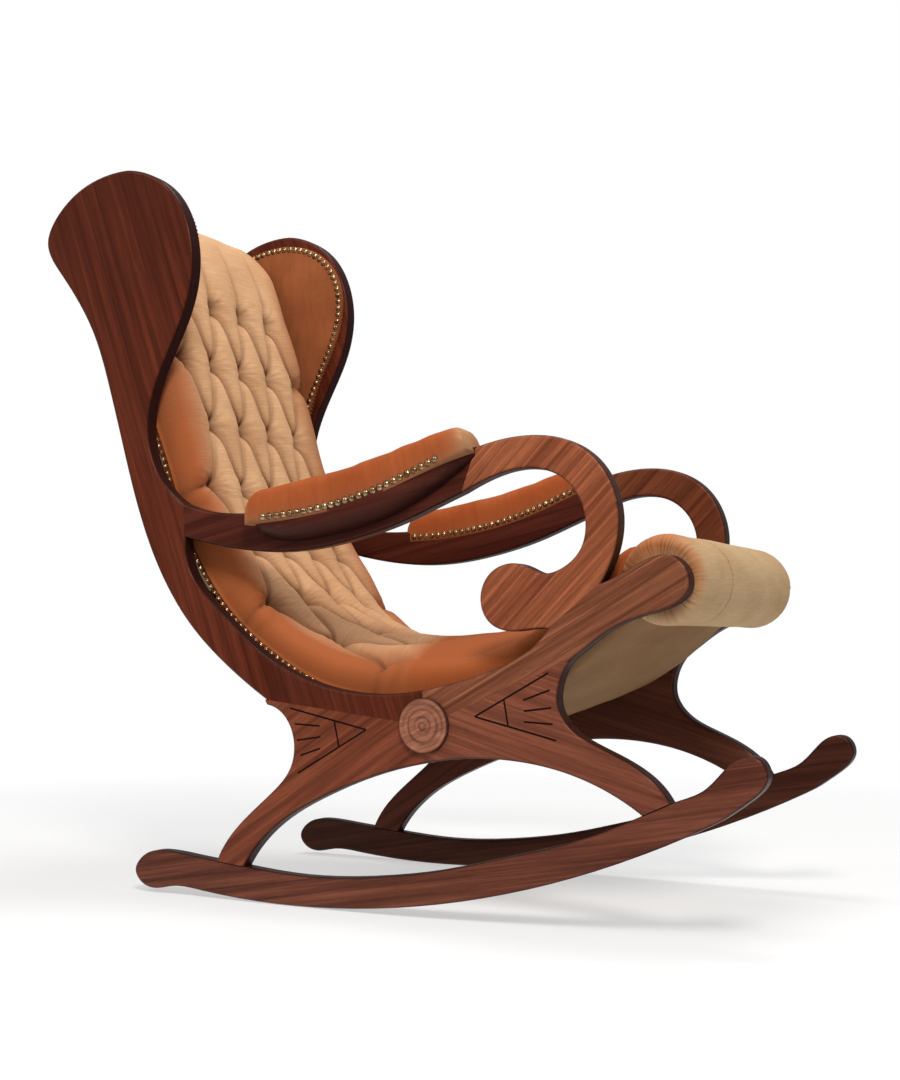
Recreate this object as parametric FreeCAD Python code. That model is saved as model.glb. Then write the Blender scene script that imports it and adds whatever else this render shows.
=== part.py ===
import FreeCAD, Part
import math
import os

# Wing-back rocking chair with a deep-buttoned sling seat between two shaped wooden side panels.
# Frame: +X towards the sitter's feet, +Y the sitter's left, +Z up, floor at z = 0, millimetres.
# Each side panel is glued up from planks; side outlines are points (x, z) in the panel's own plane.

# --- driving dimensions -----------------------------------------------------------------------
PANEL_WIDTH = 470.0          # across the outer faces of the two side panels
PLANK = 25.4                 # thickness of every side plank
EDGE_ROUND = 4.5             # rounding of the planks' visible edges
ROCKER_RADIUS = 1370.0       # sole of the rockers
CONTACT_X = -108.0           # where the sole touches the floor at rest
HUB = (109.0, 258.0)         # centre of the turned boss, where four planks meet
BOSS_RADIUS = 37.5
DOWEL_RADIUS = 5.0
DOWEL_LENGTH = 56.0
HOLE_RADIUS = 5.1
HOLE_SLACK = 2.0             # how much deeper each hole is than its dowel
RAIL_DOWEL_IN = 22.0         # reach of a rail dowel into the rail
RAIL_DOWEL_OUT = 12.0        # reach of a rail dowel into the side plank
ARM_BULGE = 29.0             # how far the padded arm swells outside the panel
PAD_ROUND = 14.0             # rounding along the top of the arm pad
NAIL_RADIUS = 5.3            # domed upholstery nail
NAIL_HEIGHT = 3.6
NAIL_PITCH = 11.4
BATTEN = 18.0                # tacking batten, square
RAIL_WIDTH = 60.0            # cross rails, along the sling
WEB_WIDTH = 50.0
WEB_THICKNESS = 2.4
WEB_SPACING = 6.0            # least gap between webbing bands
WEB_TO_SQUAB = 0.6
RAIL_TO_WEB = 0.4
COVER_THICKNESS = 1.6
LINING_THICKNESS = 6.5
ROLL_CENTRE = (437.0, 451.0)
ROLL_RADIUS = 59.0
ROLL_CORE_RADIUS = 16.0
ROLL_ROUND = 18.0            # rounding at the ends of the roll
TUFT_DEPTH = 30.0            # how far each button is pulled below the crown
TUFT_PITCH = 78.0            # across the seat
TUFT_START = 195.0           # from the top of the squab to the first row, along the crown
TUFT_STEP = 107.6            # between rows
TUFT_ROWS = 8
BUTTON_RADIUS = 8.0
BUTTON_HEIGHT = 5.0
BORDER_NAILS_START = 395.0   # first border nail, from the top of the sling
BORDER_NAILS_END = 120.0     # last border nail, from the front of the sling
CARVING_WIDTH = 2.6
CARVING_DEPTH = 1.6
CUT_CLEAR = 1.0              # how far a cutting tool stands out of the wood
GAP = 0.4                    # clearance of soft pieces
BAR_STEP = 45.0              # spacing of the points that a curved bar is drawn through
SAME_PLANE = 0.01

OUTER = PANEL_WIDTH / 2
INNER = OUTER - PLANK
SIDE_AXIS = FreeCAD.Vector(0, 1, 0)
SIDES = {"right": -1, "left": 1}


# --- small geometry helpers -------------------------------------------------------------------
def at(point, y=0.0):
    return FreeCAD.Vector(point[0], y, point[1])


def curve(points, start=None, end=None):
    """A smooth edge through (x, z) points, with optional end directions."""
    spline = Part.BSplineCurve()
    if start and end:
        spline.interpolate(Points=[at(p) for p in points], InitialTangent=at(start), FinalTangent=at(end))
    else:
        spline.interpolate([at(p) for p in points])
    return spline.toShape()


def line(a, b):
    return Part.LineSegment(at(a), at(b)).toShape()


def arc(a, middle, b):
    return Part.Arc(at(a), at(middle), at(b)).toShape()


def face_of(edges):
    return Part.Face(Part.Wire(edges))


def slab(edges, y_low, y_high):
    """The outline drawn by the edges, as a slab between two y planes."""
    face = face_of(edges)
    face.translate(FreeCAD.Vector(0, y_low, 0))
    return face.extrude(FreeCAD.Vector(0, y_high - y_low, 0))


def rounded(solid, radius, y_planes):
    """Round the curved edges that lie in the given y planes; straight joint edges stay sharp."""
    chosen = []
    for edge in solid.Edges:
        middle = edge.valueAt((edge.FirstParameter + edge.LastParameter) / 2)
        heights = (middle.y, edge.Vertexes[0].Y)
        in_plane = any(all(abs(h - y) < SAME_PLANE for h in heights) for y in y_planes)
        if in_plane and edge.Curve.TypeId != "Part::GeomLine":
            chosen.append(edge)
    return solid.makeFillet(radius, chosen)


def cylinder(radius, a, b):
    return Part.makeCylinder(radius, (b - a).Length, a, b - a)


def mirrored(shape):
    return shape.mirror(FreeCAD.Vector(0, 0, 0), SIDE_AXIS)


def save(name, *shapes):
    shape = shapes[0] if len(shapes) == 1 else Part.makeCompound(list(shapes))
    shape.exportStep(os.path.join("parts", name + ".step"))


# --- paths that the sling upholstery follows ----------------------------------------------------
class Path:
    """A smooth (x, z) path measured by its length, with offsets to its front side."""

    def __init__(self, points):
        self.spline = Part.BSplineCurve()
        self.spline.interpolate([at(p) for p in points])
        self.length = self.spline.length()

    def frame(self, s):
        """Point, direction and front normal at distance s along the path."""
        u = self.spline.parameterAtDistance(s, self.spline.FirstParameter)
        tangent = self.spline.tangent(u)[0]
        front = FreeCAD.Vector(-tangent.z, 0, tangent.x)
        return self.spline.value(u), tangent, front

    def point(self, s, offset):
        place, _, front = self.frame(s)
        return (place.x + front.x * offset, place.z + front.z * offset)

    def nearest(self, point):
        u = self.spline.parameter(at(point))
        return self.spline.length(self.spline.FirstParameter, u) if u > self.spline.FirstParameter else 0.0

    def strip(self, s_low, s_high, back, front, y_low, y_high):
        """A curved bar along the path between two offsets and two y planes."""
        steps = max(3, int((s_high - s_low) / BAR_STEP) + 1)
        stops = [s_low + (s_high - s_low) * i / steps for i in range(steps + 1)]
        near = [self.point(s, back) for s in stops]
        far = [self.point(s, front) for s in stops]
        edges = [curve(near), line(near[-1], far[-1]), curve(far[::-1]), line(far[0], near[0])]
        return slab(edges, y_low, y_high)


# Back of the squab, from the head down and forward to the roll.
SLING = Path([
    (-536, 1040), (-480, 953), (-434, 822), (-389, 708), (-357, 628), (-321, 534), (-285, 470),
    (-229, 404), (-158, 351), (-87, 314), (7, 292), (102, 297), (192, 318), (268, 349), (352, 410),
])
# Crowned front of the squab.
CROWN = [
    (-504, 1080), (-470, 1058), (-423, 982), (-374, 842), (-334, 705), (-300, 590), (-256, 500),
    (-205, 440), (-115, 390), (-21, 373), (102, 382), (177, 395), (262, 417), (352, 455), (394, 474),
]
# Cloth that closes the back and the underside.
OUTER_COVER = Path([
    (-510, 1084), (-540, 1069), (-562, 1032), (-552, 972), (-499, 891), (-466, 835), (-438, 760),
    (-411, 673), (-382, 585), (-352, 512), (-314, 452), (-276, 402), (-222, 351), (-164, 310), (-98, 268),
    (-8, 238), (72, 234), (128, 252), (182, 272), (250, 299), (321, 340), (364, 374), (404, 396),
])


# --- side planks (right-hand side, outer face at -OUTER) ----------------------------------------
def sole(x):
    """Height of the rocker's sole at x."""
    return ROCKER_RADIUS - math.sqrt(ROCKER_RADIUS**2 - (x - CONTACT_X) ** 2)


def rocker_edges():
    heel = (-264, sole(-264))
    toe = (505, sole(505))
    heel_slope = (heel[0] - CONTACT_X) / (ROCKER_RADIUS - heel[1])
    toe_slope = (toe[0] - CONTACT_X) / (ROCKER_RADIUS - toe[1])
    back_end = [heel, (-319, 11), (-352, 6), (-377, 15), (-386, 31), (-378, 47), (-356, 60), (-320, 62),
                (-236, 54)]
    top = [(-236, 54), (-90, 43), (32, 50), (133, 66), (222, 88), (308, 111), (390, 141), (456, 171)]
    front_end = [(456, 171), (497, 188), (523, 213), (546, 231), (570, 230), (580, 208), (562, 182),
                 (536, 163), toe]
    return [
        arc(toe, (CONTACT_X, 0), heel),
        curve(back_end, (-1, -heel_slope), (1, -0.09)),
        curve(top, (1, -0.09), (1, 0.42)),
        curve(front_end, (1, 0.42), (-1, -toe_slope)),
    ]


LEG_HEEL = (-152, 288.3)


def rear_leg_edges():
    back = [(-236, 54), (-208, 97), (-142, 156), (-109, 195), (-104, 226), (-118, 262), (-149, 280.5)]
    arch = [(109, 207), (7, 180), (-58, 153), (-116, 122), (-162, 84), (-188, 49.4)]
    return [
        curve(back), line(back[-1], LEG_HEEL), line(LEG_HEEL, HUB), line(HUB, arch[0]), curve(arch),
        line(arch[-1], back[0]),
    ]


def front_leg_edges():
    waist = [(324, 349), (306, 316), (305, 288), (325, 258), (364, 236), (417, 210), (456, 171)]
    arch = [(418, 153.9), (363, 185), (308, 204), (251, 214), (180, 216), (109, 207)]
    return [line(HUB, waist[0]), curve(waist), line(waist[-1], arch[0]), curve(arch), line(arch[-1], HUB)]


STILE_TOP_JOINT = (105, 306)
SCROLL_HEEL = (366, 447)
SCROLL_THROAT = (290, 388)


def seat_rail_edges():
    low = [(324, 349), (344, 364), (377, 387), (419, 404), (459, 416), (482, 436), (482, 458), (460, 480),
           (430, 477), (395, 460), SCROLL_HEEL]
    high = [SCROLL_THROAT, (266, 363), (222, 339), (163, 319), STILE_TOP_JOINT]
    return [
        line(HUB, low[0]), curve(low), line(SCROLL_HEEL, SCROLL_THROAT), curve(high), line(high[-1], HUB),
    ]


ARM_TOP_JOINT = (-303, 577)
ARM_LOW_JOINT = (-299, 526)


def back_stile_edges():
    back = [LEG_HEEL, (-232, 344), (-288, 395), (-364, 510), (-422, 671), (-450, 762), (-480, 843),
            (-552, 952), (-581, 1006), (-552, 1057), (-473, 1097), (-420, 1101)]
    front = [(-420, 1101), (-374, 1087), (-335, 1059), (-302, 1003), (-292, 947), (-302, 884), (-353, 777),
             (-373, 700), (-341, 609), ARM_TOP_JOINT]
    inner = [ARM_LOW_JOINT, (-292, 482), (-233, 413), (-162, 356), (-93, 321), (7, 300), STILE_TOP_JOINT]
    return [
        curve(back), curve(front), line(ARM_TOP_JOINT, ARM_LOW_JOINT), curve(inner),
        line(STILE_TOP_JOINT, HUB), line(HUB, back[0]),
    ]


PAD_BACK = (-165, 549)
PAD_FRONT = (181, 632)
PAD_SEAT = [PAD_BACK, (-111, 551), (-50, 558), (39, 578), (122, 609), PAD_FRONT]
SCROLL_TOP_JOINT = (187, 633)
SCROLL_LOW_JOINT = (165, 572)


def arm_edges():
    bare = [ARM_TOP_JOINT, (-272, 567), (-230, 560), (-165, 558)]
    low = [SCROLL_LOW_JOINT, (132, 559), (70, 535), (6, 517), (-94, 501), (-181, 503), (-243, 513),
           ARM_LOW_JOINT]
    return [
        curve(bare), line(bare[-1], PAD_BACK), curve(PAD_SEAT), line(PAD_FRONT, SCROLL_TOP_JOINT),
        line(SCROLL_TOP_JOINT, SCROLL_LOW_JOINT), curve(low), line(ARM_LOW_JOINT, ARM_TOP_JOINT),
    ]


def arm_scroll_edges():
    outside = [SCROLL_TOP_JOINT, (223, 641), (267, 644), (315, 636), (356, 611), (382, 572), (391, 526),
               (384, 485), SCROLL_HEEL]
    inside = [SCROLL_THROAT, (262, 387), (235, 385), (205, 397), (192, 428), (207, 463), (237, 475),
              (262, 470), (284, 461), (312, 468), (336, 490), (344, 523), (334, 560), (310, 586),
              (262, 600), (212, 592), SCROLL_LOW_JOINT]
    return [
        curve(outside), line(SCROLL_HEEL, SCROLL_THROAT), curve(inside),
        line(SCROLL_LOW_JOINT, SCROLL_TOP_JOINT),
    ]


def groove(a, b):
    """Tool that carves a line into the outer face, from a to b."""
    run = at(b) - at(a)
    across = FreeCAD.Vector(-run.z, 0, run.x).normalize() * (CARVING_WIDTH / 2)
    corners = [at(a) + across, at(b) + across, at(b) - across, at(a) - across]
    for corner in corners:
        corner.y = -OUTER - CUT_CLEAR
    face = Part.Face(Part.makePolygon(corners + corners[:1]))
    return face.extrude(FreeCAD.Vector(0, CARVING_DEPTH + CUT_CLEAR, 0))


REAR_CARVING = [
    ((-109, 277), (17, 250)), ((17, 250), (-95, 186)), ((-35, 261), (-27, 224)),
    ((-101, 255), (-59, 253)), ((-97, 232), (-58, 238)), ((-91, 211), (-58, 222)),
]
FRONT_CARVING = [
    ((292, 331), (185, 272)), ((185, 272), (303, 244)), ((228, 295), (234, 261)),
    ((256, 295), (294, 309)), ((257, 281), (296, 286)), ((257, 267), (298, 265)),
]

# Dowels in the plane of the planks: a point on each glue line and the direction across it.
PLANK_DOWELS = [
    ((-80, 280), (0.12, 1)), ((-10, 271), (0.12, 1)),
    ((106, 290), (1, 0.1)), ((218, 302), (-0.39, 0.92)), ((280, 329), (-0.39, 0.92)),
    ((109, 222), (1, 0)),
    ((-212, 52), (0, 1)), ((440, 163), (-0.3, 1)),
    ((-301, 551), (1, -0.1)), ((176, 602), (0.93, 0.33)),
    ((345, 431), (-0.6, 0.8)), ((314, 406), (-0.6, 0.8)),
]


def plank_dowel(place, direction, radius, length):
    way = at(direction).normalize() * (length / 2)
    middle = at(place, -(OUTER + INNER) / 2)
    return cylinder(radius, middle - way, middle + way)


def arm_swell():
    """Solid that widens the arm outwards under its pad, fading out at both ends."""
    stations = [
        (-172, 0.04), (-150, 0.55), (-105, 0.9), (-30, 1.0), (60, 1.0), (130, 0.8), (170, 0.42), (186, 0.04),
    ]
    least_drop = 10
    more_drop = 30
    lip_height = 9
    root = -OUTER + 4
    seat = Path(PAD_SEAT)
    fine = [seat.point(seat.length * i / 60, 0) for i in range(61)]
    sections = []
    for x, share in stations:
        inside_x = min(max(x, PAD_BACK[0]), PAD_FRONT[0])
        top = min(fine, key=lambda p: abs(p[0] - inside_x))[1]
        out = ARM_BULGE * share
        drop = least_drop + more_drop * share
        rim = FreeCAD.Vector(x, -OUTER - out, top)
        lip = FreeCAD.Vector(x, -OUTER - out, top - lip_height)
        turn = FreeCAD.Vector(x, -OUTER - out * 0.62, top - lip_height - (drop - lip_height) * 0.72)
        foot = FreeCAD.Vector(x, -OUTER, top - drop)
        heel = FreeCAD.Vector(x, root, top - drop)
        head = FreeCAD.Vector(x, root, top)
        sections.append(Part.Wire([
            Part.makeLine(head, rim), Part.makeLine(rim, lip), Part.Arc(lip, turn, foot).toShape(),
            Part.makeLine(foot, heel), Part.makeLine(heel, head),
        ]))
    return Part.makeLoft(sections, True, False)


def boss():
    """Turned roundel on the outer face: rim bead, cove, dome ring and centre button."""
    profile = [(0, 9.5), (2.5, 9.2), (4.5, 7.6), (6, 6.2), (10, 5.6), (13, 7.6), (17, 8.6), (21, 7.4),
               (23.5, 5.0), (28, 4.6), (31, 6.4), (34, 7.2), (36.5, 5.8)]
    points = [FreeCAD.Vector(r, -h, 0) for r, h in profile]
    dome = Part.BSplineCurve()
    dome.interpolate(points)
    rim = FreeCAD.Vector(BOSS_RADIUS, -3.5, 0)
    foot = FreeCAD.Vector(BOSS_RADIUS, 0, 0)
    centre = FreeCAD.Vector(0, 0, 0)
    wire = Part.Wire([
        dome.toShape(), Part.makeLine(points[-1], rim), Part.makeLine(rim, foot), Part.makeLine(foot, centre),
        Part.makeLine(centre, points[0]),
    ])
    solid = Part.Face(wire).revolve(centre, SIDE_AXIS, 360)
    solid.translate(at(HUB, -OUTER))
    return solid


def side_planks():
    """The seven planks of one side, by name."""
    y_planes = (-OUTER, -INNER)
    pieces = {
        name: rounded(slab(edges, *y_planes), EDGE_ROUND, y_planes)
        for name, edges in (
            ("rocker", rocker_edges()), ("rear_leg", rear_leg_edges()), ("front_leg", front_leg_edges()),
            ("seat_rail", seat_rail_edges()), ("back_stile", back_stile_edges()), ("arm", arm_edges()),
            ("arm_scroll", arm_scroll_edges()),
        )
    }
    for name, carving in (("rear_leg", REAR_CARVING), ("front_leg", FRONT_CARVING)):
        pieces[name] = pieces[name].cut([groove(a, b) for a, b in carving])
    pieces["arm"] = pieces["arm"].fuse(arm_swell()).removeSplitter()
    hole_length = DOWEL_LENGTH + 2 * HOLE_SLACK
    holes = [plank_dowel(place, way, HOLE_RADIUS, hole_length) for place, way in PLANK_DOWELS]
    for name in pieces:
        pieces[name] = pieces[name].cut(holes)
    return pieces


# --- upholstery -------------------------------------------------------------------------------
def arm_pad():
    top = [(-164, 580), (-138, 590), (-85, 598), (-18, 610), (47, 625), (110, 640), (158, 651), (180, 652)]
    solid = slab([curve(PAD_SEAT), line(PAD_FRONT, top[-1]), curve(top[::-1]), line(top[0], PAD_BACK)],
                 -OUTER - ARM_BULGE, -INNER)
    long_enough = (PAD_FRONT[0] - PAD_BACK[0]) / 2
    longways = [e for e in solid.Edges if e.Length > long_enough and e.BoundBox.ZMax > 640]
    return solid.makeFillet(PAD_ROUND, longways)


def wing_lining():
    rim = [(-500, 1074), (-455, 1083), (-394, 1080), (-336, 1051), (-305, 1004), (-299, 960), (-310, 904),
           (-349, 820), (-372, 748)]
    back = [(-372, 748), (-428, 847), (-473, 957), (-500, 1074)]
    return slab([curve(rim), curve(back)], -INNER, -INNER + LINING_THICKNESS)


def nail(place, way):
    """A domed nail head standing on a surface at place, facing way."""
    ball = (NAIL_RADIUS**2 + NAIL_HEIGHT**2) / (2 * NAIL_HEIGHT)
    crown = FreeCAD.Vector(0, 0, NAIL_HEIGHT)
    rim = FreeCAD.Vector(NAIL_RADIUS, 0, 0)
    half = math.asin(NAIL_RADIUS / ball) / 2
    middle = FreeCAD.Vector(ball * math.sin(half), 0, NAIL_HEIGHT - ball * (1 - math.cos(half)))
    origin = FreeCAD.Vector(0, 0, 0)
    wire = Part.Wire([
        Part.Arc(crown, middle, rim).toShape(), Part.makeLine(rim, origin), Part.makeLine(origin, crown),
    ])
    head = Part.Face(wire).revolve(origin, FreeCAD.Vector(0, 0, 1), 360)
    head.Placement = FreeCAD.Placement(place, FreeCAD.Rotation(FreeCAD.Vector(0, 0, 1), way))
    return head


def nails_along(path, s_low, s_high, place_of):
    """Evenly pitched nails between two distances; place_of gives position and direction."""
    count = int((s_high - s_low) / NAIL_PITCH)
    return [nail(*place_of(path, s_low + (s_high - s_low) * i / count)) for i in range(count + 1)]


def arm_pad_nails():
    row = Path([(x, z - 1) for x, z in PAD_SEAT])

    def outside(path, s):
        return at(path.point(s, 0), -OUTER - ARM_BULGE), FreeCAD.Vector(0, -1, 0)

    def inside(path, s):
        return at(path.point(s, 0), -INNER), FreeCAD.Vector(0, 1, 0)

    outer_row = nails_along(row, 26, row.length - 44, outside)
    inner_row = nails_along(row, 8, row.length - 8, inside)
    return outer_row + inner_row


def wing_nails():
    row = Path([(-492, 1066), (-455, 1074), (-398, 1072), (-343, 1045), (-314, 1001), (-308, 960),
                (-319, 906), (-357, 822), (-372, 786)])

    def inside(path, s):
        return at(path.point(s, 0), -INNER + LINING_THICKNESS), FreeCAD.Vector(0, 1, 0)

    return nails_along(row, 0, row.length, inside)


RAIL_PLACES = {
    "top_rail": 62.0, "upper_back_rail": 330.0, "lower_back_rail": 560.0, "rear_seat_rail": 775.0,
    "middle_seat_rail": 960.0, "front_seat_rail": 1150.0,
}
RAIL_FRONT = -WEB_TO_SQUAB - WEB_THICKNESS - RAIL_TO_WEB
RAIL_BACK = RAIL_FRONT - BATTEN
BAY_GAP = 0.5                # between a batten and the rails at its ends
PEG_FROM_EDGE = 15.0         # dowels, from the edges of a rail


def rail_spans():
    return {name: (s - RAIL_WIDTH / 2, s + RAIL_WIDTH / 2) for name, s in RAIL_PLACES.items()}


def bays():
    """Open lengths of the sling between neighbouring cross rails."""
    spans = list(rail_spans().values())
    return [(low[1] + BAY_GAP, high[0] - BAY_GAP) for low, high in zip(spans, spans[1:])]


def tacking_battens():
    return [SLING.strip(low, high, RAIL_BACK, RAIL_FRONT, -INNER, -INNER + BATTEN) for low, high in bays()]


def squab_nails():
    """Nails through the squab's border into the battens, facing the sitter."""

    def facing(path, s):
        _, _, front = path.frame(s)
        return at(path.point(s, 0), -INNER + NAIL_RADIUS + GAP), front

    return nails_along(SLING, BORDER_NAILS_START, SLING.length - BORDER_NAILS_END, facing)


def rail_dowels(radius, inner_depth, outer_depth):
    """Dowels along Y through both ends of each cross rail."""
    pegs = []
    for low, high in rail_spans().values():
        for s in (low + PEG_FROM_EDGE, high - PEG_FROM_EDGE):
            x, z = SLING.point(s, (RAIL_BACK + RAIL_FRONT) / 2)
            pegs.append(cylinder(radius, at((x, z), -INNER - outer_depth), at((x, z), -INNER + inner_depth)))
    core = at(ROLL_CENTRE)
    outer_end = core - SIDE_AXIS * (INNER + outer_depth)
    inner_end = core - SIDE_AXIS * (INNER - inner_depth)
    pegs.append(cylinder(radius, outer_end, inner_end))
    return pegs


def tufts():
    """Button places: distance along the crown and y, in staggered rows of four and five."""
    crown = Path(CROWN)
    places = []
    for row in range(TUFT_ROWS):
        s = TUFT_START + TUFT_STEP * row
        count = 4 if row % 2 == 0 else 5
        for i in range(count):
            places.append((crown.frame(s), (i - (count - 1) / 2) * TUFT_PITCH))
    return places


def squab():
    """The sling cushion, with a pocket for each button and room for the border nails."""
    half = INNER - LINING_THICKNESS - NAIL_HEIGHT - GAP
    open_to_front = TUFT_DEPTH + 20
    rear = [SLING.point(SLING.length * i / 14, GAP) for i in range(15)]
    edges = [curve(CROWN), line(CROWN[-1], rear[-1]), curve(rear[::-1]), line(rear[0], CROWN[0])]
    body = slab(edges, -half, half)
    pockets = [Part.makeCylinder(ROLL_RADIUS + GAP, PANEL_WIDTH, at(ROLL_CENTRE, -OUTER), SIDE_AXIS)]
    buttons = []
    for (place, _, front), y in tufts():
        floor = place - front * TUFT_DEPTH
        floor.y = y
        pockets.append(Part.makeCylinder(BUTTON_RADIUS + GAP, open_to_front, floor, front))
        buttons.append(Part.makeCylinder(BUTTON_RADIUS, BUTTON_HEIGHT, floor, front))
    return body.cut(pockets), buttons


def webbing(low_bay, high_bay):
    bands = []
    for low, high in bays()[low_bay:high_bay]:
        count = int((high - low) / (WEB_WIDTH + WEB_SPACING))
        pitch = (high - low) / count
        for i in range(count):
            middle = low + pitch * (i + 0.5)
            bands.append(SLING.strip(
                middle - WEB_WIDTH / 2, middle + WEB_WIDTH / 2, -WEB_THICKNESS - WEB_TO_SQUAB, -WEB_TO_SQUAB,
                -INNER, INNER))
    return bands


def front_roll():
    half = INNER - GAP
    core = Part.makeCylinder(ROLL_CORE_RADIUS, 2 * half, at(ROLL_CENTRE, -half), SIDE_AXIS)
    roll = Part.makeCylinder(ROLL_RADIUS, 2 * half, at(ROLL_CENTRE, -half), SIDE_AXIS)
    roll = roll.makeFillet(ROLL_ROUND, [e for e in roll.Edges if e.Curve.TypeId == "Part::GeomCircle"])
    return roll.cut(core)


def main():
    os.makedirs("parts", exist_ok=True)
    planks = side_planks()
    peg_holes = rail_dowels(HOLE_RADIUS, RAIL_DOWEL_IN + HOLE_SLACK, RAIL_DOWEL_OUT + HOLE_SLACK)
    for name in ("back_stile", "seat_rail", "rear_leg", "front_leg"):
        planks[name] = planks[name].cut(peg_holes)
    right = dict(planks)
    right["roundel"] = boss()
    right["plank_dowels"] = Part.makeCompound([
        plank_dowel(place, way, DOWEL_RADIUS, DOWEL_LENGTH) for place, way in PLANK_DOWELS])
    right["arm_pad"] = arm_pad()
    right["arm_pad_nails"] = Part.makeCompound(arm_pad_nails())
    right["wing_lining"] = wing_lining()
    right["wing_nails"] = Part.makeCompound(wing_nails())
    right["squab_nails"] = Part.makeCompound(squab_nails())
    right["tacking_battens"] = Part.makeCompound(tacking_battens())
    for side, sign in SIDES.items():
        for name, shape in right.items():
            save(f"{name}_{side}", shape if sign < 0 else mirrored(shape))

    both_holes = peg_holes + [mirrored(peg) for peg in peg_holes]
    for name, (low, high) in rail_spans().items():
        save(name, SLING.strip(low, high, RAIL_BACK, RAIL_FRONT, -INNER, INNER).cut(both_holes))
    pegs = rail_dowels(DOWEL_RADIUS, RAIL_DOWEL_IN, RAIL_DOWEL_OUT)
    save("rail_dowels", *pegs, *[mirrored(peg) for peg in pegs])

    cushion, buttons = squab()
    save("buttoned_squab", cushion)
    save("squab_buttons", *buttons)
    save("front_roll", front_roll())
    bar = Part.makeCylinder(ROLL_CORE_RADIUS, 2 * INNER, at(ROLL_CENTRE, -INNER), SIDE_AXIS)
    save("front_roll_bar", bar.cut(both_holes))
    save("back_webbing", *webbing(0, 3))
    save("seat_webbing", *webbing(3, 5))
    split = OUTER_COVER.nearest((-98, 268))
    inside = INNER - GAP
    save("outer_back_cover", OUTER_COVER.strip(0, split, -COVER_THICKNESS, 0, -inside, inside))
    save("underside_cover", OUTER_COVER.strip(
        split + 1, OUTER_COVER.length, -COVER_THICKNESS, 0, -inside, inside))


main()
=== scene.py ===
import math

import bmesh
import bpy
import numpy as np
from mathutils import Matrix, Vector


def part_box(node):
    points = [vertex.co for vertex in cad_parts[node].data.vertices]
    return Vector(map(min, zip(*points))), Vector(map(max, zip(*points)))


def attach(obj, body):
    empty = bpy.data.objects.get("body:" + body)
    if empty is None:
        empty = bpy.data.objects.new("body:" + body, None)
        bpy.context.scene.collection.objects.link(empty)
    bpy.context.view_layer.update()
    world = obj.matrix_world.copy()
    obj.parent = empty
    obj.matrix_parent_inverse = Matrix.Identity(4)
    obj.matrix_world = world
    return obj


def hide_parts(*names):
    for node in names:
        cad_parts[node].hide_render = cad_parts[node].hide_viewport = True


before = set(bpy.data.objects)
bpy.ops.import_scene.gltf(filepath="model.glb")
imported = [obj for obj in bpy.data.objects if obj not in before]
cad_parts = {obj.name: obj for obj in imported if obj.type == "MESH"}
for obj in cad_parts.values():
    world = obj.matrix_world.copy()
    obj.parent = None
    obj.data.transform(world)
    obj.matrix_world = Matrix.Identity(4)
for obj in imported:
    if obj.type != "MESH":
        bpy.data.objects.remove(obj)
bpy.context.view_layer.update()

# --- sizes in metres, in the chair's own frame: +X to the sitter's feet, +Y left, +Z up -------
MM = 0.001
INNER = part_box("back_stile_left")[0].y            # inner faces of the side panels
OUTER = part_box("back_stile_left")[1].y
LINING = 6.5 * MM
SQUAB_SIDE = INNER - 0.3 * MM                     # edge of the squab's nailed border
SQUAB_WALL = 0.1975                               # where the padding ends and the border begins
CROWN_FLAT = 0.158                                # half width over which the squab stays full
TUFT_PITCH = 78 * MM
TUFT_STEP = 107.6 * MM
TUFT_START = 195 * MM
ROLL_LOW, ROLL_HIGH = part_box("front_roll")
ROLL_CENTRE = (ROLL_LOW + ROLL_HIGH) / 2
ROLL_RADIUS = (ROLL_HIGH.z - ROLL_LOW.z) / 2


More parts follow.
